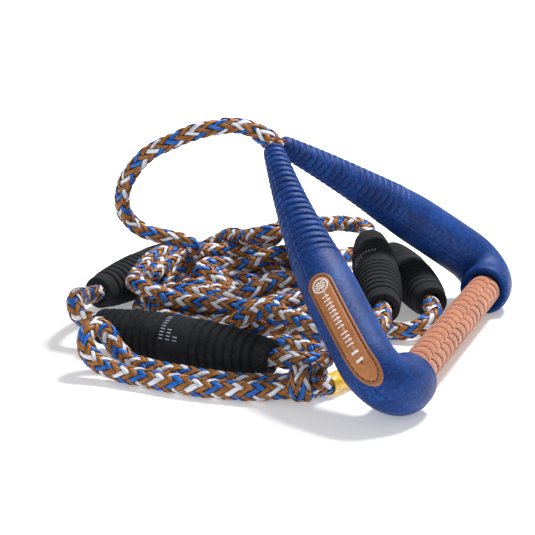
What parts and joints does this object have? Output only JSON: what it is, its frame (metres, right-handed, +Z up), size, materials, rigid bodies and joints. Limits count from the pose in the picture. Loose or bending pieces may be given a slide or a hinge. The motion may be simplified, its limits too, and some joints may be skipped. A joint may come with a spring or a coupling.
{
  "type": "tow rope handle",
  "caption": "Triangular moulded foam tow handle with a suede bar and its full braided rope, piled loose with ribbed foam floats and a boat loop",
  "frame": {"origin": "on the floor under the middle of the handle's bounding box, rope left out", "axes": "+Z up, +Y along the bar from the elbow with the patch to the other, -X from the bar towards the apex and the rope"},
  "size_m": [0.3592, 0.4112, 0.1944],
  "materials": {
    "arm_foam": "moulded EVA foam with a heathered blue fabric-like skin, satin",
    "suede": "coral synthetic suede, overlapping puckered wrap with stitched edges",
    "underlay": "closed-cell foam underlay",
    "tube": "drawn tube, satin",
    "plug": "moulded nylon",
    "core_rope": "white braided core rope",
    "rope": "flat-yarn polyethylene braid in tan, blue and white",
    "patch_leather": "tan leather with a rolled darker edge",
    "stitch": "dark waxed thread",
    "float_foam": "ribbed black closed-cell foam, matte",
    "tag_vinyl": "plain yellow vinyl sleeve"
  },
  "bodies": {
    "rope_and_arms": {"near_arm": "arm_foam", "far_arm": "arm_foam", "yoke_rope": "core_rope", "arm_patch": "patch_leather", "patch_stitching": "stitch", "apex_splice": "rope", "rope_coil": "rope", "loop_knot": "rope", "label_tag": "tag_vinyl", "rope_lead": "rope", "rope_right": "rope", "rope_rear": "rope", "rope_left": "rope", "rope_end": "rope", "rope_loop": "rope"},
    "grip": {"bar_tube": "tube", "near_bar_plug": "plug", "far_bar_plug": "plug", "grip_underlay": "underlay", "grip_wrap": "suede"},
    "float_right": {"float_right": "float_foam"},
    "float_rear": {"float_rear": "float_foam"},
    "float_left": {"float_left": "float_foam"},
    "float_front": {"float_front": "float_foam"}
  },
  "joints": [
    {"name": "grip_turn", "type": "hinge", "parent": "rope_and_arms", "child": "grip", "pos_m": [0.06979, 0, 0.0227], "axis": [0, 1, 0], "continuous": true},
    {"name": "float_right_turn", "type": "hinge", "parent": "rope_and_arms", "child": "float_right", "pos_m": [-0.016, 0.066, 0.0435], "axis": [0.3736, -0.9229, -0.0934], "continuous": true},
    {"name": "float_rear_turn", "type": "hinge", "parent": "rope_and_arms", "child": "float_rear", "pos_m": [-0.0035, 0.134, 0.022], "axis": [0.5137, -0.858, 0], "continuous": true},
    {"name": "float_left_turn", "type": "hinge", "parent": "rope_and_arms", "child": "float_left", "pos_m": [-0.2425, 0.0575, 0.023], "axis": [-0.1247, -0.9921, 0.0108], "continuous": true},
    {"name": "float_front_turn", "type": "hinge", "parent": "rope_and_arms", "child": "float_front", "pos_m": [-0.128, -0.1035, 0.022], "axis": [0.993, -0.1177, 0], "continuous": true}
  ]
}
